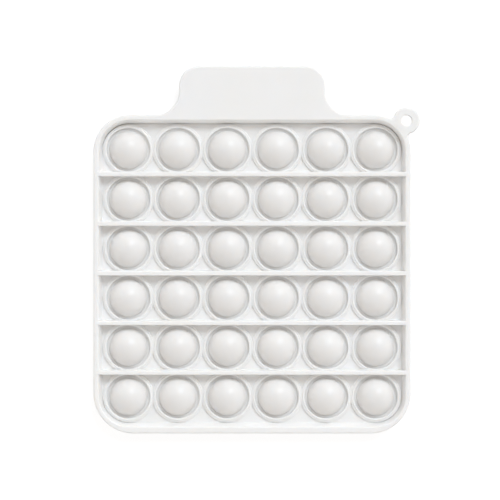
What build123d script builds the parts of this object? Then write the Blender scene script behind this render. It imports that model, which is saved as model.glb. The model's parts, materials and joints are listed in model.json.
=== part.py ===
from build123d import *
from math import radians, tan
import os

# Push-and-pop bubble game board in soft silicone.
# Millimetres, +Z up. The origin is the centre of the bubble grid, on the plane that the board lies on.
# +Y points at the tab, +X at the side of the hanging loop. Row 1 is nearest the tab, column 1 is at -X.

# Bubbles
rows = 6
columns = 6
dome_radius = 7.45  # outside of a bubble, a half sphere
crown_wall = 1.0
foot_wall = 0.8  # thinner, where the bubble folds as it turns inside out
foot_clearance = 0.15  # between a bubble's foot and its hole in the web

# Web, the floor that holds the bubbles, with a collar round each of them
web_thickness = 1.2
ledge_thickness = 0.8
ledge_width = 1.1
collar_width = 1.5
collar_height = 1.2
collar_step_width = 0.7
collar_step_height = 0.65
collar_overlap = 0.49  # neighbours in a row run into each other by this much

# Ribs between the rows
rib_top_width = 1.6
rib_draft = 2.5
rib_edge_radius = 0.35
rib_lip = 0.23  # web left between a rib and the groove round a bubble

# Rim
bay_depth = 4.8  # from the rim's top down to the web
back_recess = 2.0  # from the web down to the plane that the board lies on
rim_top_width = 2.0
rim_draft = 12.0
rim_gap = 0.5  # floor between the rim's foot and the nearest collar
near_rim_extra = 0.7  # the side away from the tab is wider by this much
corner_softness = 0.8  # corners are rounder than circles about the corner bubbles by this much
near_corner_softness = 2.3  # the same for the two corners away from the tab
rim_edge_radius = 0.8

# Tab and hanging loop, one plate thickness, level with the rim's top
plate_thickness = 3.0
plate_seat_share = 0.7  # share of the rim's top width that the plates are let into
tab_width = 58.4
tab_reach = 19.6
tab_corner_radius = 8.0
tab_flare_radius = 9.5
loop_radius = 5.3
loop_hole_radius = 2.2
loop_reach = 3.3  # from the board's rounded corner to the loop's centre
loop_bearing = 43.5  # direction of the loop, in degrees from +X
loop_fillet_radius = 1.5

# Worked out from the sizes above
hole_radius = dome_radius + foot_clearance
groove_radius = hole_radius + ledge_width
collar_radius = groove_radius + collar_width
column_pitch = 2 * collar_radius - collar_overlap
rib_foot_width = rib_top_width + 2 * bay_depth * tan(radians(rib_draft))
row_pitch = 2 * (groove_radius + rib_lip) + rib_foot_width
rim_foot_width = rim_top_width + bay_depth * tan(radians(rim_draft))
edge_distance = collar_radius + rim_gap + rim_foot_width
half_width = (columns - 1) / 2 * column_pitch + edge_distance
far_edge = (rows - 1) / 2 * row_pitch + edge_distance
near_edge = -far_edge - near_rim_extra
corner_radius = edge_distance + corner_softness
near_corner_radius = edge_distance + near_corner_softness
web_top = back_recess + web_thickness
rim_height = web_top + bay_depth
plate_bottom = rim_height - plate_thickness
plate_seat = plate_seat_share * rim_top_width
corner = Pos(half_width - corner_radius, far_edge - corner_radius)


def column_x(column):
    """X of a column of bubbles, counted from 1."""
    return (column - (columns + 1) / 2) * column_pitch


def row_y(row):
    """Y of a row of bubbles, counted from 1 at the tab."""
    return ((rows + 1) / 2 - row) * row_pitch


def board_outline():
    """Rounded outline of the board, not of its tab and loop."""
    outline = Pos(0, (far_edge + near_edge) / 2) * Rectangle(2 * half_width, far_edge - near_edge)
    outline = fillet(outline.vertices().group_by(Axis.Y)[-1], corner_radius)
    return fillet(outline.vertices().group_by(Axis.Y)[0], near_corner_radius)


def bay_outline():
    """Outline of the floor inside the rim's foot, centred on the bubbles."""
    width = 2 * (half_width - rim_foot_width)
    length = 2 * (far_edge - rim_foot_width)
    return RectangleRounded(width, length, corner_radius - rim_foot_width)


def web_blank():
    """Floor inside the rim, before ribs and bubbles."""
    return Pos(0, 0, back_recess) * extrude(bay_outline(), web_thickness)


def bay():
    """All the room inside the rim: it widens from the web to the top and to the back."""
    above = extrude(bay_outline(), bay_depth, taper=-rim_draft)
    below = extrude(bay_outline(), back_recess, dir=(0, 0, -1), taper=-rim_draft)
    return Pos(0, 0, web_top) * above + web_blank() + Pos(0, 0, back_recess) * below


def near(a, b):
    """Whether two lengths are the same, for picking points of an outline."""
    return abs(a - b) < 0.001


def loop_place():
    """Centre of the hanging loop, just outside the corner at +X and +Y."""
    return corner * Rot(0, 0, loop_bearing) * Pos(corner_radius + loop_reach, 0)


def plate_outline():
    """Board outline with the tab and the loop, blended in where they leave the rim."""
    tab_end = far_edge + tab_reach
    shape = board_outline() + Pos(0, tab_end / 2) * Rectangle(tab_width, tab_end)
    roots = shape.vertices().filter_by(lambda v: near(v.Y, far_edge) and near(abs(v.X), tab_width / 2))
    shape = fillet(roots, tab_flare_radius)
    shape = fillet(shape.vertices().group_by(Axis.Y)[-1], tab_corner_radius)
    centre = loop_place().position
    shape = shape + loop_place() * Circle(loop_radius)
    necks = shape.vertices().filter_by(lambda v: near(v.center().sub(centre).length, loop_radius))
    return fillet(necks, loop_fillet_radius)


def moulding():
    """Rim, tab and loop in one, with the rounded outer edges running on from one to the next."""
    body = extrude(board_outline(), rim_height)
    plate = Pos(0, 0, plate_bottom) * extrude(plate_outline(), plate_thickness)
    block = body + plate
    block = fillet(block.edges().group_by(Axis.Z)[-1], rim_edge_radius)
    block = fillet(block.edges().group_by(Axis.Z)[0], rim_edge_radius)
    hole = Pos(0, 0, plate_bottom) * extrude(loop_place() * Circle(loop_hole_radius), plate_thickness)
    return block - bay() - hole


def tab_space():
    """Space that divides the tab from the rim: a step cut along the top of the far side."""
    half = tab_width / 2 + tab_flare_radius + plate_seat
    space = Box(2 * half, tab_reach + 2 * plate_seat, rim_height, align=(Align.CENTER, Align.MIN, Align.MIN))
    return Pos(0, far_edge - plate_seat, plate_bottom) * space


def loop_space():
    """Space that divides the loop from the rim: a step cut across the corner."""
    length = plate_seat + loop_reach + 2 * loop_radius
    space = Box(length, 4 * loop_radius, rim_height, align=(Align.MIN, Align.CENTER, Align.MIN))
    seat = Pos(corner_radius - plate_seat, 0, plate_bottom)
    return corner * Rot(0, 0, loop_bearing) * seat * space


def row_rib(number):
    """Dividing rib between two rows: a drafted wall from the back to the rim's top, through the web."""
    top = rib_top_width / 2
    foot = rib_foot_width / 2
    back = foot - back_recess * tan(radians(rib_draft))
    half = [(top, rim_height), (foot, web_top), (foot, back_recess), (back, 0)]
    other_half = [(-y, z) for y, z in reversed(half)]
    section = make_face(Polyline(half + other_half, close=True))
    bar = extrude(Plane.YZ * section, half_width, both=True)
    bar = fillet(bar.edges().filter_by(Axis.X).group_by(Axis.Z)[-1], rib_edge_radius)
    place = Pos(0, (row_y(number) + row_y(number + 1)) / 2)
    return (place * bar) & bay()


def collar():
    """Raised ring with a lower outer step, standing on the web."""
    step_radius = collar_radius - collar_step_width
    ring = Cylinder(step_radius, collar_height, align=(Align.CENTER, Align.CENTER, Align.MIN))
    step = Cylinder(collar_radius, collar_step_height, align=(Align.CENTER, Align.CENTER, Align.MIN))
    return Pos(0, 0, web_top) * (ring + step)


def bubble_hole():
    """Hole for a bubble, opened out above the ledge so that a groove runs round the bubble's foot."""
    through = Cylinder(hole_radius, web_thickness, align=(Align.CENTER, Align.CENTER, Align.MIN))
    depth = web_thickness - ledge_thickness + collar_height
    groove = Cylinder(groove_radius, depth, align=(Align.CENTER, Align.CENTER, Align.MIN))
    return Pos(0, 0, back_recess) * (through + Pos(0, 0, ledge_thickness) * groove)


def web_row(row, strip, ribs):
    """One row of the floor with its collars, fitted between the ribs."""
    places = [Pos(column_x(column), row_y(row)) for column in range(1, columns + 1)]
    web = strip + [place * collar() for place in places]
    return web - ribs - [place * bubble_hole() for place in places]


def bubble(row, column):
    """Thin half-sphere shell, open below, with its foot in its hole in the web."""
    inner_crown = dome_radius - crown_wall
    inner_foot = dome_radius - foot_wall
    outside = CenterArc((0, 0), dome_radius, 0, 90)
    inside = TangentArc((0, inner_crown), (inner_foot, 0), tangent=(1, 0))
    crown = Line(outside @ 1, inside @ 0)
    foot = Line(inside @ 1, outside @ 0)
    section = make_face([outside, crown, inside, foot])
    shell = revolve(Plane.XZ * section, Axis.Z)
    return Pos(column_x(column), row_y(row), back_recess) * shell


def all_nodes():
    """Every piece of the board under its own name."""
    block = moulding()
    nodes = {
        "rim_frame": block - tab_space() - loop_space(),
        "top_tab": block & tab_space(),
        "hanging_loop": block & loop_space(),
    }
    ribs = [row_rib(number) for number in range(1, rows)]
    for number, rib in enumerate(ribs, 1):
        nodes[f"row_rib_{number}"] = rib
    strips = (web_blank() - ribs).solids().sort_by(Axis.Y, reverse=True)
    for row, strip in enumerate(strips, 1):
        nodes[f"web_row_{row}"] = web_row(row, strip, ribs)
        for column in range(1, columns + 1):
            nodes[f"bubble_{row}_{column}"] = bubble(row, column)
    return nodes


os.makedirs("parts", exist_ok=True)
for name, shape in all_nodes().items():
    export_step(shape, f"parts/{name}.step")
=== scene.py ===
import json
import math

import bmesh
import bpy
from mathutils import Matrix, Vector
from mathutils.geometry import delaunay_2d_cdt


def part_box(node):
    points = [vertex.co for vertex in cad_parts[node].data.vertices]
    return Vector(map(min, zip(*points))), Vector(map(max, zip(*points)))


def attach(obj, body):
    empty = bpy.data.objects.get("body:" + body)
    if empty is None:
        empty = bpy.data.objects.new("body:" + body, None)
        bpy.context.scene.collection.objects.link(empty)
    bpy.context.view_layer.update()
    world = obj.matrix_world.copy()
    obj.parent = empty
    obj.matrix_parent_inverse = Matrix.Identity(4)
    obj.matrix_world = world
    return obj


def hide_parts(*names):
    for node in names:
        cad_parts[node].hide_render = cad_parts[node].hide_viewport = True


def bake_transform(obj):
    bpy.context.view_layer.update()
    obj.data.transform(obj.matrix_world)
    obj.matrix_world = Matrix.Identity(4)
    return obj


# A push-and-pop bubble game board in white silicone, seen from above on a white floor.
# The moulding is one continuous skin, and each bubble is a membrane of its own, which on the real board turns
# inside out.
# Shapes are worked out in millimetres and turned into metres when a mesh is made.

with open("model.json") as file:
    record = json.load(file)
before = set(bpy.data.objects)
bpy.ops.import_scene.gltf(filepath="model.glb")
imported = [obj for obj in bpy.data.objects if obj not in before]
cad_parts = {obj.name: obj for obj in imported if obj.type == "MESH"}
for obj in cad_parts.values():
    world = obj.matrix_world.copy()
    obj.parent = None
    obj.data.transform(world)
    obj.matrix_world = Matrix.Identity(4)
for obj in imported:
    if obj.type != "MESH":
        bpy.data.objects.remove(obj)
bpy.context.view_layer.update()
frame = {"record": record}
MM = 0.001
TINY = 1e-4  # lengths and angles that differ by less are the same


def node_box(name):
    """Lowest and highest corner of a node, in millimetres."""
    low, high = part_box(name)
    return low / MM, high / MM


def bubble_centre(row, column):
    """Plan position of a bubble, rows counted from 1 at the tab and columns from 1 at -X."""
    low, high = node_box(f"bubble_{row}_{column}")
    return ((low + high) / 2).to_2d()


# Places and sizes from the frame
ROWS = 6
COLUMNS = 6
bubble_low, bubble_high = node_box("bubble_1_1")
rim_low, rim_high = node_box("rim_frame")
web_low, web_high = node_box("web_row_1")
rib_low, rib_high = node_box("row_rib_1")
tab_low, tab_high = node_box("top_tab")
loop_high = node_box("hanging_loop")[1]
hole = next(m for m in frame["record"]["mounts"] if m["name"] == "hanging_hole")

dome_radius = (bubble_high.x - bubble_low.x) / 2
web_bottom = web_low.z
collar_top = web_high.z
top = rim_high.z
plate_bottom = tab_low.z
half_width = rim_high.x
far_edge = rim_high.y
near_edge = rim_low.y
tab_end = tab_high.y
loop_centre = Vector((hole["pos_m"][0] / MM, hole["pos_m"][1] / MM))
loop_hole_radius = hole["dims"]["r_mm"]
loop_radius = loop_high.x - loop_centre.x

# Sizes that the boxes don't give
groove_width = 1.25  # from a bubble's outside to its collar
ring_width = 0.8  # the upper ring of a collar, without its step
collar_width = 1.5
collar_height = 1.2
step_height = 0.85
ledge_height = 1.15  # from the web's underside to the top of the ledge at a bubble's foot
crown_wall = 1.0
foot_wall = 0.8
foot_clearance = 0.15  # the gap round the CAD bubble, closed here
rib_draft = math.tan(math.radians(2.5))
rim_draft = math.tan(math.radians(12))
corner_extra = 0.8  # the board's corners are rounder than circles about the corner bubbles by this much
near_corner_extra = 2.3  # the same for the two corners away from the tab
tab_half_width = 29.2
tab_corner_radius = 8.0
tab_flare_radius = 9.5
neck_radius = 1.5

groove_radius = dome_radius + groove_width
step_radius = groove_radius + ring_width
collar_radius = groove_radius + collar_width
web_top = collar_top - collar_height
step_top = web_top + step_height

# Softness of the moulded edges: how far from its corner each one starts to bend
outer_softness = 0.8
rim_softness = 0.4
rib_softness = 0.25
collar_softness = 0.4
step_softness = 0.25
crease_softness = 0.15
foot_softness = 0.5
foot_share = 0.4  # of the gap between collar and wall, the most that the bend at the wall's foot takes
far_crease = 1.2  # the corner of the floor's bend is this much lower at the rim's far side, for a crease
plate_softness = 0.35
hole_softness = 0.3

# A cell is the square round one bubble. Its sides lie half a pitch away, or at the rim. A foot and a distance
# are measured from the bubble's centre.
first = bubble_centre(1, 1)
half_pitch_x = (bubble_centre(1, 2).x - first.x) / 2
half_pitch_y = (first.y - bubble_centre(2, 1).y) / 2
rib_foot = half_pitch_y - (rib_high.y - rib_low.y) / 2
rim_foot = first.x - web_low.x
outer_distance = first.x - rim_low.x
corner_radius = outer_distance + corner_extra
near_corner_radius = outer_distance + near_corner_extra
near_distance = bubble_centre(ROWS, 1).y - near_edge
arc_offset = outer_distance - corner_radius
foot_arc_radius = rim_foot - arc_offset
corner_centre = Vector((half_width - corner_radius, far_edge - corner_radius))

# Stations where a ring's edge runs into the rib, and where the rings of two neighbours meet
upper_meets_rib = math.sqrt(step_radius**2 - (rib_foot + rib_draft * (collar_top - web_top)) ** 2)
lower_meets_rib = math.sqrt(collar_radius**2 - (rib_foot + rib_draft * (step_top - web_top)) ** 2)
rings_meet = math.sqrt(collar_radius**2 - half_pitch_x**2)

# Steps in each bend
FOOT_STEPS = 3
EDGE_STEPS = 4
OUTER_STEPS = 6
HOLE_STEPS = 2
RING_STEPS = 3
CREASE_STEPS = 2
TAB_ARC_STEPS = 14
NECK_STEPS = 8
LOOP_STEPS = 40
LOOP_HOLE_SIDES = 48

# Columns of the skin in each stretch of a quarter's side. The stretches meet where something starts or ends.
OPEN_COLUMNS = [2, 4]  # between two bubbles: middle, where their rings part, end
RIB_COLUMNS = [4, 2, 4]  # at a rib: end, where the step meets it, where the upper ring meets it, middle
RIM_COLUMNS = [6]
FLARE_COLUMNS = [1, 6]  # at the rim: end, where the tab's flare ends, middle
CORNER_COLUMNS = [4, 4, 4, 4]  # over the corner: +X, one neck of the loop, its middle, the other neck, +Y


# Small tools for paths

def heading(degrees):
    """Unit vector in the plan at an angle from +X."""
    return Vector((math.cos(math.radians(degrees)), math.sin(math.radians(degrees))))


def lifted(point, z):
    """A plan point at a height."""
    return Vector((point.x, point.y, z))


def curve(start, corner, end, steps):
    """Points of a soft bend from start to end that leaves and arrives in line with the corner."""
    shares = [i / steps for i in range(steps + 1)]
    return [start * (1 - t) ** 2 + corner * 2 * t * (1 - t) + end * t**2 for t in shares]


def towards(corner, point, size):
    """The place on the way from a corner to a point, at most halfway."""
    way = point - corner
    return corner + way.normalized() * min(size, way.length / 2)


def soft_corner(before, corner, after, size, steps):
    """Points of a soft corner between the lines from before and to after."""
    return curve(towards(corner, before, size), corner, towards(corner, after, size), steps)


def stretch(keys, steps):
    """Values that run through the keys, with a number of even steps between each two."""
    values = [keys[0]]
    for a, b, count in zip(keys, keys[1:], steps):
        values += [a + (b - a) * i / count for i in range(1, count + 1)]
    return values


def turned(distance, keys, steps):
    """Like stretch, along a side of a cell, but even in the angle that the bubble's centre sees."""
    angles = stretch([math.atan2(key, distance) for key in keys], steps)
    return [distance * math.tan(angle) for angle in angles]


def arc(centre, radius, start, end, steps):
    """Plan points of an arc, angles in degrees, each with its direction away from the centre."""
    ways = [heading(angle) for angle in stretch([start, end], [steps])]
    return [(centre + way * radius, way) for way in ways]


# Columns of the skin

# Each cell is four quarters, mirrored copies of one whose sides are at +X and +Y. A quarter is a fan of
# columns. A column is a path of points: from the ridge or rim on the back, along the underside of the web,
# up the groove's wall, over the collar and the floor, and up to the ridge or rim on the front. Points that it
# lacks are None. A column at the rim also has a skirt, the path down the rim's outer side.

# The collar's corners from the groove outwards: radius, height, softness and steps
ring_corners = [
    (groove_radius, collar_top, collar_softness, RING_STEPS),
    (step_radius, collar_top, step_softness, RING_STEPS),
    (step_radius, step_top, crease_softness, CREASE_STEPS),
    (collar_radius, step_top, step_softness, RING_STEPS),
    (collar_radius, web_top, crease_softness, CREASE_STEPS),
]


def level_at(foot, lean):
    """Height at which a column meets its wall or border, and how many ring corners come before it."""
    for height, radius, count in [(collar_top, step_radius, 1), (step_top, collar_radius, 3)]:
        if (foot + lean * (height - web_top)).length <= radius + TINY:
            return height, count
    return web_top, len(ring_corners)


def ring_path(way, count, end):
    """Points over the collar, with the ring corners that aren't reached folded into the end point."""
    corners = [Vector((way.x * radius, way.y * radius, z)) for radius, z, _, _ in ring_corners]
    route = [lifted(way * groove_radius, web_bottom)] + corners[:count] + [end]
    points = []
    for i, (_, _, size, steps) in enumerate(ring_corners):
        if i < count:
            points += soft_corner(route[i], route[i + 1], route[i + 2], size, steps)
        else:
            points += [end] * (steps + 1)
    return points


def hole_path(way, end):
    """Soft edge of a bubble's hole on the back, from the web's underside into the hole."""
    corner = lifted(way * groove_radius, web_bottom)
    inside = lifted(way * groove_radius, web_bottom + ledge_height)
    return soft_corner(end, corner, inside, crease_softness, HOLE_STEPS)


def open_column(along):
    """A column that ends on the border with the next bubble in the row."""
    foot = Vector((half_pitch_x, along))
    height, count = level_at(foot, Vector((0, 0)))
    end, back_end = lifted(foot, height), lifted(foot, web_bottom)
    way = foot.normalized()
    missing = FOOT_STEPS + (EDGE_STEPS + 1) + 2  # a wall's foot and edge, and its ridge and outline
    back = [None] * missing + [back_end] + hole_path(way, back_end)
    return back + ring_path(way, count, end) + [end] + [None] * missing, None


def wall_bend(foot, knee, edge, goal, inward, gap, softness, dip=0):
    """Bends at a wall's foot and at its edge. The first one starts inside the cell, the last one ends on the
    way to the goal. With a dip, the first one makes a crease."""
    size = min(foot_softness, foot_share * gap)
    start, low = lifted(foot + inward * size, knee.z), lifted(foot, knee.z - dip)
    foot_bend = curve(start, low, towards(knee, edge, size), FOOT_STEPS)
    return foot_bend, soft_corner(knee, edge, goal, softness, EDGE_STEPS)


def wall_column(foot, inward, lean, softness, ridge=None, outer=None, outward=None, dip=0):
    """A column that climbs a wall from its foot, leaning by lean for each unit of height. It ends on a ridge
    or on the outline, or runs over the ridge's end to the outline."""
    height, count = level_at(foot, lean)
    front_foot = foot + lean * (height - web_top)
    edge = foot + lean * (top - web_top)
    back_edge = foot + lean * web_bottom
    goal = outer if ridge is None else ridge
    back_goal = Vector((back_edge.x, ridge.y)) if ridge and outer else goal

    gap = front_foot.length - ring_corners[count - 1][0]
    front_bends = wall_bend(
        front_foot, lifted(front_foot, height), lifted(edge, top), lifted(goal, top),
        inward, gap, softness, dip,
    )
    back_bends = wall_bend(
        foot, lifted(foot, web_bottom), lifted(back_edge, 0), lifted(back_goal, 0),
        inward, foot.length - groove_radius, softness,
    )
    way = front_bends[0][0].to_2d().normalized()
    front = ring_path(way, count, front_bends[0][0]) + front_bends[0] + front_bends[1]
    back = hole_path(way, back_bends[0][0])[::-1] + back_bends[0] + back_bends[1]
    front.append(lifted(ridge, top) if ridge else front[-1])
    back.append(lifted(back_goal, 0) if ridge else back[-1])
    if outer is None:
        return [None] + back[::-1] + front + [None], None
    rim_line = outer - outward * outer_softness
    return [lifted(rim_line, 0)] + back[::-1] + front + [lifted(rim_line, top)], skirt_path(outer, outward)


def upper_edge(point, outward):
    """Soft upper edge of the outline, from its top face down to its side."""
    inside, below = lifted(point - outward * 2 * outer_softness, top), lifted(point, top - 2 * outer_softness)
    return soft_corner(inside, lifted(point, top), below, outer_softness, OUTER_STEPS)


def skirt_path(point, outward):
    """The rim's outer side: its upper edge, the level of the plates' underside, and its lower edge."""
    above, inside = lifted(point, 2 * outer_softness), lifted(point - outward * 2 * outer_softness, 0)
    lower = soft_corner(above, lifted(point, 0), inside, outer_softness, OUTER_STEPS)
    return upper_edge(point, outward) + [lifted(point, plate_bottom)] + lower


def rib_column(along):
    """A column up the rib at +Y."""
    foot, lean = Vector((along, rib_foot)), Vector((0, rib_draft))
    return wall_column(foot, Vector((0, -1)), lean, rib_softness, ridge=Vector((along, half_pitch_y)))


def side_rim_column(along):
    """A column over the rim at +X."""
    foot, lean, outward = Vector((rim_foot, along)), Vector((rim_draft, 0)), Vector((1, 0))
    outer = Vector((outer_distance, along))
    return wall_column(foot, -outward, lean, rim_softness, outer=outer, outward=outward)


def end_rim_column(along, y_outer):
    """A column over the rim at +Y, whose outline is at y_outer."""
    foot, lean, outward = Vector((along, rim_foot)), Vector((0, rim_draft)), Vector((0, 1))
    outer = Vector((along, y_outer))
    dip = far_crease if y_outer == outer_distance else 0
    return wall_column(foot, -outward, lean, rim_softness, outer=outer, outward=outward, dip=dip)


def junction_columns():
    """The two columns in the corner between the rim at +X and the rib at +Y."""
    foot, inward, lean = Vector((rim_foot, rib_foot)), Vector((-1, -1)), Vector((rim_draft, rib_draft))
    edge = foot + lean * (top - web_top)
    outward = Vector((1, 0))
    along_rim = wall_column(
        foot, inward, lean, rim_softness, outer=Vector((outer_distance, edge.y)), outward=outward
    )
    along_rib = wall_column(
        foot, inward, lean, rib_softness, ridge=Vector((edge.x, half_pitch_y)),
        outer=Vector((outer_distance, half_pitch_y)), outward=outward,
    )
    return [along_rim, along_rib]


def corner_columns(y_outer, radius):
    """Columns over the rim's rounded corner, from +X to +Y. The necks of the loop touch the corner at the
    second and fourth key."""
    keys = [0, loop_bearing - neck_at_corner, loop_bearing, loop_bearing + neck_at_corner, 90]
    ways = [heading(angle) for angle in stretch(keys, CORNER_COLUMNS)]
    outer_centre = Vector((outer_distance - radius, y_outer - radius))
    feet = [(Vector((rim_foot, outer_centre.y)), ways[0])]
    feet += [(Vector((arc_offset, arc_offset)) + way * foot_arc_radius, way) for way in ways]
    feet.append((Vector((outer_centre.x, rim_foot)), ways[-1]))
    columns = []
    for foot, way in feet:
        arm = foot - outer_centre
        reach = math.sqrt(arm.dot(way) ** 2 - arm.length_squared + radius**2) - arm.dot(way)
        outer = foot + way * reach
        outward = (outer - outer_centre) / radius
        dip = far_crease * way.y if y_outer == outer_distance else 0
        columns.append(
            wall_column(foot, -way, way * rim_draft, rim_softness, outer=outer, outward=outward, dip=dip)
        )
    return columns


def quarter_columns(x_rim, y_rim, radius, y_outer, flare):
    """Columns of a quarter of a cell, from +X to +Y. x_rim and y_rim say which of its sides are the board's
    rim. radius is that of the board's corner, if this is a corner cell, and y_outer the distance of its
    outline. flare is the station on the +Y side where the tab's flare ends, if there is one."""
    if x_rim and y_rim:
        return corner_columns(y_outer, radius)
    x_start = radius - outer_distance if radius else 0
    y_start = radius - y_outer if radius else 0
    x_end = rim_foot if x_rim else half_pitch_x
    y_end = rim_foot if y_rim else rib_foot
    if x_rim:
        columns = [side_rim_column(y) for y in turned(rim_foot, [y_start, y_end], RIM_COLUMNS)[:-1]]
        columns += junction_columns()
    else:
        stations = turned(half_pitch_x, [0, rings_meet, y_end], OPEN_COLUMNS)
        columns = [open_column(y) for y in stations[:-1]]
    if y_rim:
        keys, steps = [x_end, x_start], RIM_COLUMNS
        if flare:
            keys, steps = [x_end, flare, x_start], FLARE_COLUMNS
        return columns + [end_rim_column(x, y_outer) for x in turned(rim_foot, keys, steps)]
    stations = turned(rib_foot, [x_end, lower_meets_rib, upper_meets_rib, 0], RIB_COLUMNS)
    return columns + [rib_column(x) for x in stations[1 if x_rim else 0:]]


# Where the tab and the loop leave the rim

def triangle_angle(a, b, opposite):
    """Angle in degrees between the sides a and b of a triangle."""
    return math.degrees(math.acos((a**2 + b**2 - opposite**2) / (2 * a * b)))


flare_end = tab_half_width + tab_flare_radius
loop_arm = loop_centre - corner_centre
loop_bearing = math.degrees(math.atan2(loop_arm.y, loop_arm.x))
neck_at_corner = triangle_angle(loop_arm.length, corner_radius + neck_radius, loop_radius + neck_radius)
neck_at_loop = triangle_angle(loop_arm.length, loop_radius + neck_radius, corner_radius + neck_radius)


def plate_at(point):
    """The plate that leaves the rim at a point of its outline, and how far the point is from its end."""
    arm = point - corner_centre
    if abs(point.y - far_edge) < TINY and abs(point.x) < flare_end + TINY:
        return "tab", flare_end - abs(point.x)
    if abs(arm.length - corner_radius) < TINY and min(arm) > 0:
        inside = neck_at_corner - abs(math.degrees(math.atan2(arm.y, arm.x)) - loop_bearing)
        if inside > -TINY:
            return "loop", inside
    return None, 0


def add_strips(mesh, paths):
    """Faces between neighbouring paths, wherever both have points."""
    grid = [[None if point is None else mesh.verts.new(point) for point in path] for path in paths]
    for one, other in zip(grid, grid[1:]):
        for i in range(len(one) - 1):
            corners = [one[i], one[i + 1], other[i + 1], other[i]]
            if None not in corners:
                mesh.faces.new(corners)


def placed(point, centre, side_x, side_y):
    """A point of a quarter, mirrored and moved to its cell. A missing one stays missing."""
    if point is None:
        return None
    return Vector((centre.x + side_x * point.x, centre.y + side_y * point.y, point.z))


def add_cell(mesh, row, column, seats):
    """The skin of one cell, with the rim beside it. Where a plate leaves the rim, its seat is noted."""
    centre = bubble_centre(row, column)
    y_outer = near_distance if row == ROWS else outer_distance
    radius = {1: corner_radius, ROWS: near_corner_radius}.get(row) if column in (1, COLUMNS) else None
    for side_x, side_y in [(1, 1), (-1, 1), (-1, -1), (1, -1)]:
        x_rim = column == (COLUMNS if side_x > 0 else 1)
        y_rim = row == (1 if side_y > 0 else ROWS)
        flare_places = [side_x * (end - centre.x) for end in (flare_end, -flare_end)]
        flare = next((x for x in flare_places if side_y > 0 and 0 < x < half_pitch_x), None)
        paths, skirts = [], []
        for path, skirt in quarter_columns(x_rim, y_rim, radius, y_outer, flare):
            paths.append([placed(point, centre, side_x, side_y) for point in path])
            if skirt is None:
                continue
            skirt = [placed(point, centre, side_x, side_y) for point in skirt]
            seat = skirt[OUTER_STEPS + 1]
            plate, inside = plate_at(seat.to_2d())
            if plate:
                seats[plate].append((paths[-1][-1], seat))
            if inside > TINY:
                skirt[: OUTER_STEPS + 1] = [None] * (OUTER_STEPS + 1)
            skirts.append(skirt)
        add_strips(mesh, paths)
        add_strips(mesh, skirts)


# The tab and the loop

INSIDE_ONLY = 1  # asks for the triangles within the outlines


def past_far_side(point):
    """How far a point is outside the rim's far side."""
    return point.y - far_edge


def past_corner(point):
    """How far a point is outside the rim's corner."""
    return (point - corner_centre).length - corner_radius


def tab_outline():
    """Outline of the tab from its flare at +X to the one at -X, each point with the way out of the plate."""
    flare_centre = Vector((flare_end, far_edge + tab_flare_radius))
    flare = arc(flare_centre, tab_flare_radius, -90, -180, TAB_ARC_STEPS)
    centre = Vector((tab_half_width - tab_corner_radius, tab_end - tab_corner_radius))
    half = [(point, -way) for point, way in flare] + arc(centre, tab_corner_radius, 0, 90, TAB_ARC_STEPS)
    mirrored = [(Vector((-p.x, p.y)), Vector((-way.x, way.y))) for p, way in reversed(half)]
    return half + mirrored


def loop_outline():
    """Outline of the loop from its neck on the +X side to the one on the +Y side, like the tab's."""
    turn = 180 - neck_at_corner - neck_at_loop
    reach = corner_radius + neck_radius
    first_neck = corner_centre + heading(loop_bearing - neck_at_corner) * reach
    last_neck = corner_centre + heading(loop_bearing + neck_at_corner) * reach
    leaves = loop_bearing - neck_at_corner + 180
    arrives = loop_bearing - neck_at_loop
    first_arc = arc(first_neck, neck_radius, leaves, leaves - turn, NECK_STEPS)
    last_arc = arc(last_neck, neck_radius, arrives, arrives - turn, NECK_STEPS)
    starts = loop_bearing + neck_at_loop - 180
    ends = loop_bearing + 180 - neck_at_loop
    round_arc = arc(loop_centre, loop_radius, starts, ends, LOOP_STEPS)
    outline = [(point, -way) for point, way in first_arc] + round_arc[1:-1]
    return outline + [(point, -way) for point, way in last_arc]


def fill(mesh, outline, z, hole_centre=None, hole_rim=()):
    """Flat face within an outline, as triangles, with or without a round hole."""
    loops = [list(outline), list(hole_rim)]
    points, edges = [], []
    for loop in loops:
        base = len(points)
        points += [p.to_2d() for p in loop]
        edges += [(base + i, base + (i + 1) % len(loop)) for i in range(len(loop))]
    found, _, faces, _, _, _ = delaunay_2d_cdt(points, edges, [], INSIDE_ONLY, TINY / 10)
    corners = [mesh.verts.new(lifted(p, z)) for p in found]
    for face in faces:
        middle = sum((found[i] for i in face), Vector((0, 0))) / len(face)
        if hole_centre is None or (middle - hole_centre).length > loop_hole_radius + hole_softness:
            mesh.faces.new([corners[i] for i in face])


def tidy_seat(seat, order):
    """A plate's seat on the rim in order, each place once."""
    ordered = sorted(seat, key=order)
    kept = ordered[:1]
    for pair in ordered[1:]:
        if (pair[1] - kept[-1][1]).length > TINY:
            kept.append(pair)
    return kept


def add_plate(mesh, outline, seat, overhang, hole_centre=None):
    """A plate with soft edges that goes on from the rim at its seat."""
    paths = []
    for point, outward in outline:
        size = min(plate_softness, max(0, overhang(point)) / 2)
        corner = lifted(point, plate_bottom)
        above, inside = lifted(point, top), lifted(point - outward * 2 * size, plate_bottom)
        lower = soft_corner(above, corner, inside, size, EDGE_STEPS)
        paths.append(upper_edge(point, outward) + lower)
    add_strips(mesh, paths)
    rims = [(), ()]
    if hole_centre:
        rims = add_hole(mesh, hole_centre)
    inner_seat = seat[-2:0:-1]
    upper_face = [path[0] for path in paths] + [pair[0] for pair in inner_seat]
    lower_face = [path[-1] for path in paths] + [pair[1] for pair in inner_seat]
    fill(mesh, upper_face, top, hole_centre, rims[0])
    fill(mesh, lower_face, plate_bottom, hole_centre, rims[1])


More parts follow.
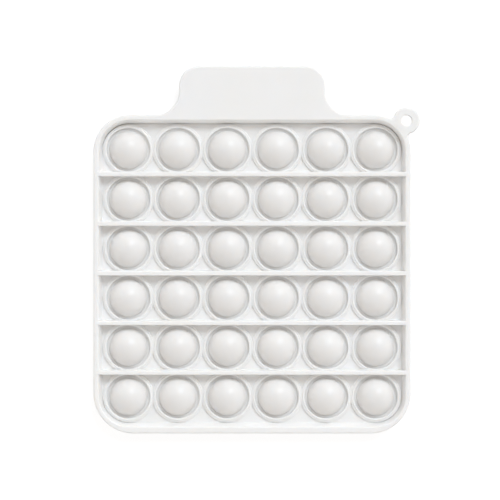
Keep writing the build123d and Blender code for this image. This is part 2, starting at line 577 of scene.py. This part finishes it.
def add_hole(mesh, centre):
    """Wall of the loop's hole with soft edges. Returns its upper and lower rim."""
    paths = []
    for point, way in arc(centre, loop_hole_radius, 0, 360, LOOP_HOLE_SIDES):
        outside = point + way * 2 * hole_softness
        high, low = lifted(point, top), lifted(point, plate_bottom)
        upper = soft_corner(lifted(outside, top), high, low, hole_softness, EDGE_STEPS)
        lower = soft_corner(high, low, lifted(outside, plate_bottom), hole_softness, EDGE_STEPS)
        paths.append(upper + lower)
    add_strips(mesh, paths)
    return [path[0] for path in paths[:-1]], [path[-1] for path in paths[:-1]]


# Making pieces

FLAT_WEIGHT = 80  # how much more a large face counts than a small one in the shading


def made(mesh, name, material):
    """An object from a mesh in millimetres, with its material."""
    bmesh.ops.scale(mesh, vec=Vector((MM, MM, MM)), verts=mesh.verts)
    data = bpy.data.meshes.new(name)
    mesh.to_mesh(data)
    mesh.free()
    data.materials.append(material)
    piece = bpy.data.objects.new(name, data)
    bpy.context.scene.collection.objects.link(piece)
    return piece


def finished(mesh, name, material):
    """A smooth piece of the board."""
    piece = made(mesh, name, material)
    piece.data.shade_smooth()
    return piece


def moulded_board(material):
    """The board's whole moulding but for its bubbles: rim, ribs, floor, collars, tab and loop in one skin."""
    mesh = bmesh.new()
    seats = {"tab": [], "loop": []}
    for row in range(1, ROWS + 1):
        for column in range(1, COLUMNS + 1):
            add_cell(mesh, row, column, seats)
    tab_seat = tidy_seat(seats["tab"], lambda pair: -pair[1].x)
    add_plate(mesh, tab_outline(), tab_seat, past_far_side)
    loop_seat = tidy_seat(seats["loop"], lambda pair: pair[1].y)
    add_plate(mesh, loop_outline(), loop_seat, past_corner, loop_centre)
    bmesh.ops.remove_doubles(mesh, verts=mesh.verts, dist=TINY)
    bmesh.ops.recalc_face_normals(mesh, faces=mesh.faces)
    piece = finished(mesh, "moulded_board", material)
    shading = piece.modifiers.new("flat faces stay flat", "WEIGHTED_NORMAL")
    shading.weight = FLAT_WEIGHT
    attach(piece, "board")
    nodes = ["rim_frame", "top_tab", "hanging_loop"]
    nodes += [f"row_rib_{number}" for number in range(1, ROWS)]
    nodes += [f"web_row_{number}" for number in range(1, ROWS + 1)]
    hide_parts(*nodes)


# Bubbles

DOME_RINGS = 18
DOME_SIDES = 72
FOLD_STEPS = 5
INWARDS = -1  # the sheet is a bubble's outside, and its wall lies within it
tuck = 0.14  # how far a membrane reaches into the collar
fold_softness = 0.3


def membrane_profile():
    """Radius, height and wall from the crown down to the ledge, and on into the collar."""
    ledge_top = web_bottom + ledge_height
    shell_radius = dome_radius + foot_clearance
    foot_radius = math.sqrt(shell_radius**2 - ledge_height**2)
    foot_angle = math.asin((ledge_height + fold_softness) / dome_radius)
    found = []
    for angle in stretch([math.pi / 2, foot_angle], [DOME_RINGS]):
        share = math.sin(angle)
        wall = foot_wall + (crown_wall - foot_wall) * share
        found.append((shell_radius * math.cos(angle), web_bottom + dome_radius * share, wall))
    start = Vector(found.pop()[:2])
    corner = Vector((foot_radius, ledge_top))
    bend = curve(start, corner, corner + Vector((fold_softness, 0)), FOLD_STEPS)
    for i, point in enumerate(bend):
        share = i / FOLD_STEPS
        found.append((point.x, point.y, foot_wall * (1 - share) + ledge_height * share))
    found.append((groove_radius - crease_softness, ledge_top, ledge_height))
    found.append((groove_radius + tuck, ledge_top + crease_softness, ledge_height + crease_softness))
    return found


def bubble_sheet(centre, profile):
    """A bubble's outside as a mesh: the point of its crown, and then ring after ring."""
    mesh = bmesh.new()
    crown = mesh.verts.new(lifted(centre, profile[0][1]))
    ways = [heading(360 * i / DOME_SIDES) for i in range(DOME_SIDES)]
    rings = []
    for radius, z, _ in profile[1:]:
        rings.append([mesh.verts.new(lifted(centre + way * radius, z)) for way in ways])
    for i in range(DOME_SIDES):
        after = (i + 1) % DOME_SIDES
        mesh.faces.new([crown, rings[0][i], rings[0][after]])
        for one, other in zip(rings, rings[1:]):
            mesh.faces.new([one[i], other[i], other[after], one[after]])
    return mesh


def add_wall(piece, profile):
    """Gives a bubble's sheet its wall. A weight is 1 at most, so no wall is thicker than the crown's."""
    weights = piece.vertex_groups.new(name="wall")
    weights.add([0], profile[0][2] / crown_wall, "REPLACE")
    for number, (_, _, wall) in enumerate(profile[1:]):
        members = range(1 + number * DOME_SIDES, 1 + (number + 1) * DOME_SIDES)
        weights.add(list(members), wall / crown_wall, "REPLACE")
    thickness = piece.modifiers.new("wall", "SOLIDIFY")
    thickness.thickness = crown_wall * MM
    thickness.offset = INWARDS
    thickness.vertex_group = "wall"


def membrane(row, column, material):
    """One bubble as a sheet with a thickness, from its crown down to its foot in the collar."""
    name = f"bubble_{row}_{column}"
    centre = bubble_centre(row, column)
    profile = membrane_profile()
    piece = finished(bubble_sheet(centre, profile), f"membrane_{row}_{column}", material)
    add_wall(piece, profile)
    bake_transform(piece)
    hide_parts(name)


# Materials

# A noise's scale is in waves to the metre, and depths are in metres
SILICONE = (0.935, 0.925, 0.91)
# The bubbles' silicone is the board's silicone painted darker: painted shade for the thin shells, which let
# light through
SHADED_THIN_SILICONE = (0.85, 0.842, 0.83)
MOTTLE = 0.02  # from the darkest to the lightest patch
ROUGHNESS = (0.29, 0.35)
MOTTLE_SCALE = 38
MOTTLE_DETAIL = 3
GRAIN_SCALE = 2600
GRAIN_DETAIL = 2
GRAIN_STRENGTH = 0.12
GRAIN_DEPTH = 0.00005
SCATTER_WEIGHT = 1
SCATTER_DEPTH = 0.0004
THIN_SCATTER_DEPTH = 0.0006
SCATTER_TINT = (1, 0.95, 0.9)
NOISE_LOW = 0.3  # the lowest and highest value that a noise texture usually gives
NOISE_HIGH = 0.7
REFRACTION = 1.41


def node(tree, kind, **values):
    """A shader node with values for its properties or, where it has none by that name, for its inputs."""
    found = tree.nodes.new(kind)
    for key, value in values.items():
        if hasattr(found, key):
            setattr(found, key, value)
        else:
            found.inputs[key.replace("_", " ")].default_value = value
    return found


def mapped(tree, source, low, high):
    """Socket that runs from low to high as a noise socket goes from its usual lowest to its highest value."""
    span = node(tree, "ShaderNodeMapRange")
    ends = {"From Min": NOISE_LOW, "From Max": NOISE_HIGH, "To Min": low, "To Max": high}
    for name, value in ends.items():
        span.inputs[name].default_value = value
    tree.links.new(source, span.inputs["Value"])
    return span.outputs["Result"]


def silicone(name, colour, scatter_depth):
    """Matte white silicone: milky and a little translucent, slightly mottled, with a fine dusty grain."""
    material = bpy.data.materials.new(name)
    material.use_nodes = True
    tree = material.node_tree
    shader = tree.nodes["Principled BSDF"]
    place = node(tree, "ShaderNodeTexCoord")
    mottle = node(tree, "ShaderNodeTexNoise", Scale=MOTTLE_SCALE, Detail=MOTTLE_DETAIL)
    grain = node(tree, "ShaderNodeTexNoise", Scale=GRAIN_SCALE, Detail=GRAIN_DETAIL)
    colours = node(tree, "ShaderNodeMix", data_type="RGBA")
    colours.inputs["A"].default_value = (*[c - MOTTLE / 2 for c in colour], 1)
    colours.inputs["B"].default_value = (*[c + MOTTLE / 2 for c in colour], 1)
    bump = node(tree, "ShaderNodeBump", Strength=GRAIN_STRENGTH, Distance=GRAIN_DEPTH)
    for noise in (mottle, grain):
        tree.links.new(place.outputs["Object"], noise.inputs["Vector"])
    tree.links.new(mapped(tree, mottle.outputs["Fac"], 0, 1), colours.inputs["Factor"])
    tree.links.new(colours.outputs["Result"], shader.inputs["Base Color"])
    tree.links.new(mapped(tree, grain.outputs["Fac"], *ROUGHNESS), shader.inputs["Roughness"])
    tree.links.new(grain.outputs["Fac"], bump.inputs["Height"])
    tree.links.new(bump.outputs["Normal"], shader.inputs["Normal"])
    shader.inputs["IOR"].default_value = REFRACTION
    shader.inputs["Subsurface Weight"].default_value = SCATTER_WEIGHT
    shader.inputs["Subsurface Radius"].default_value = SCATTER_TINT
    shader.inputs["Subsurface Scale"].default_value = scatter_depth
    return material


def seen_ray(tree):
    """Socket that is 1 for camera, glossy and transmission rays, which show what they reach, and else 0."""
    path = node(tree, "ShaderNodeLightPath")
    total = path.outputs["Is Camera Ray"]
    for name in ("Is Glossy Ray", "Is Transmission Ray"):
        add = node(tree, "ShaderNodeMath", operation="MAXIMUM")
        tree.links.new(total, add.inputs[0])
        tree.links.new(path.outputs[name], add.inputs[1])
        total = add.outputs[0]
    return total


# Stage

# The floor's lengths are in millimetres, those of the view in metres, and angles in degrees
FLOOR_HALF = 3000
FLOOR_LEVEL = -0.05  # a hair below the board, so that their faces don't lie in one plane
WELL_REACH = 8.2  # beyond the centres of the outer bubbles
WELL_DEPTH = 7
FLOOR_TONE = 0.35
FLOOR_LIFT = 0.78  # a glow that the camera and reflections see, and that lights nothing
WHITE = (1, 1, 1, 1)
ZENITH = 0.36
HORIZON = 1.27
AMBIENT_COLOUR = (1, 0.962, 0.928)
KEY_STRENGTH = 1.36
KEY_COLOUR = (0.93, 1, 1.072)
KEY_SPREAD = 25
KEY_TILT = 42.5
KEY_BEARING = 62
VIEW_WIDTH = 0.2
VIEW_DISTANCE = 0.63
VIEW_CENTRE = (-0.00082, 0.00934)
VIEW_START = 0.01
SENSOR = 36  # in millimetres, as cameras have it


def white_floor():
    """Floor that shows white where it is lit and keeps the object's shadow."""
    material = bpy.data.materials.new("white floor")
    material.use_nodes = True
    tree = material.node_tree
    tree.nodes.clear()
    diffuse = node(tree, "ShaderNodeBsdfDiffuse", Color=(FLOOR_TONE, FLOOR_TONE, FLOOR_TONE, 1))
    glow = node(tree, "ShaderNodeEmission")
    lift = node(tree, "ShaderNodeMath", operation="MULTIPLY")
    lift.inputs[1].default_value = FLOOR_LIFT
    both = node(tree, "ShaderNodeAddShader")
    out = node(tree, "ShaderNodeOutputMaterial")
    tree.links.new(seen_ray(tree), lift.inputs[0])
    tree.links.new(lift.outputs[0], glow.inputs["Strength"])
    tree.links.new(diffuse.outputs[0], both.inputs[0])
    tree.links.new(glow.outputs[0], both.inputs[1])
    tree.links.new(both.outputs[0], out.inputs["Surface"])
    return material


def add_floor():
    """The floor, with a well below the bubbles, which the board hides, so that popped bubbles hang free."""
    low = bubble_centre(ROWS, 1) - Vector((WELL_REACH, WELL_REACH))
    high = bubble_centre(1, COLUMNS) + Vector((WELL_REACH, WELL_REACH))
    mouth = [(low.x, low.y), (high.x, low.y), (high.x, high.y), (low.x, high.y)]
    far = [(math.copysign(FLOOR_HALF, x), math.copysign(FLOOR_HALF, y)) for x, y in mouth]
    mesh = bmesh.new()
    rings = []
    for outline, z in [(far, FLOOR_LEVEL), (mouth, FLOOR_LEVEL), (mouth, -WELL_DEPTH)]:
        rings.append([mesh.verts.new((x, y, z)) for x, y in outline])
    for outer, inner in zip(rings, rings[1:]):
        for i in range(len(mouth)):
            after = (i + 1) % len(mouth)
            mesh.faces.new([outer[i], outer[after], inner[after], inner[i]])
    mesh.faces.new(rings[-1])
    made(mesh, "floor", white_floor())


def soft_light():
    """Soft light from all sides, more of it from low down. Where the background shows, it is plain white."""
    world = bpy.data.worlds.new("studio")
    bpy.context.scene.world = world
    world.use_nodes = True
    tree = world.node_tree
    background = tree.nodes["Background"]
    tint = node(tree, "ShaderNodeMix", data_type="RGBA")
    tint.inputs["A"].default_value = (*AMBIENT_COLOUR, 1)
    tint.inputs["B"].default_value = WHITE
    place = node(tree, "ShaderNodeTexCoord")
    parts = node(tree, "ShaderNodeSeparateXYZ")
    height = node(tree, "ShaderNodeMath", operation="ABSOLUTE")
    sky = node(tree, "ShaderNodeMapRange")
    sky.inputs["To Min"].default_value = HORIZON
    sky.inputs["To Max"].default_value = ZENITH
    shown = node(tree, "ShaderNodeMapRange")
    tree.links.new(place.outputs["Generated"], parts.inputs["Vector"])
    tree.links.new(parts.outputs["Z"], height.inputs[0])
    tree.links.new(height.outputs[0], sky.inputs["Value"])
    seen = seen_ray(tree)
    tree.links.new(seen, tint.inputs["Factor"])
    tree.links.new(seen, shown.inputs["Value"])
    tree.links.new(sky.outputs["Result"], shown.inputs["To Min"])
    tree.links.new(tint.outputs["Result"], background.inputs["Color"])
    tree.links.new(shown.outputs["Result"], background.inputs["Strength"])


def key_light():
    """Broad key light from the upper right."""
    lamp = bpy.data.lights.new("key", "SUN")
    lamp.energy = KEY_STRENGTH
    lamp.color = KEY_COLOUR
    lamp.angle = math.radians(KEY_SPREAD)
    key = bpy.data.objects.new("key", lamp)
    side = heading(KEY_BEARING) * math.sin(math.radians(KEY_TILT))
    key.rotation_mode = "QUATERNION"
    key.rotation_quaternion = lifted(side, math.cos(math.radians(KEY_TILT))).to_track_quat("Z", "Y")
    bpy.context.scene.collection.objects.link(key)


def camera():
    """Camera straight above the board."""
    data = bpy.data.cameras.new("camera")
    data.sensor_width = SENSOR
    data.lens = SENSOR * VIEW_DISTANCE / VIEW_WIDTH
    data.clip_start = VIEW_START
    viewer = bpy.data.objects.new("camera", data)
    viewer.location = (*VIEW_CENTRE, top * MM + VIEW_DISTANCE)
    bpy.context.scene.collection.objects.link(viewer)
    bpy.context.scene.camera = viewer


moulded_board(silicone("white silicone", SILICONE, SCATTER_DEPTH))
# The bubbles get the same silicone painted darker, as painted shade
shaded_thin_silicone = silicone("thin white silicone painted darker", SHADED_THIN_SILICONE, THIN_SCATTER_DEPTH)
for bubble_row in range(1, ROWS + 1):
    for bubble_column in range(1, COLUMNS + 1):
        membrane(bubble_row, bubble_column, shaded_thin_silicone)
add_floor()
soft_light()
key_light()
camera()
bpy.context.scene.view_settings.view_transform = "Standard"
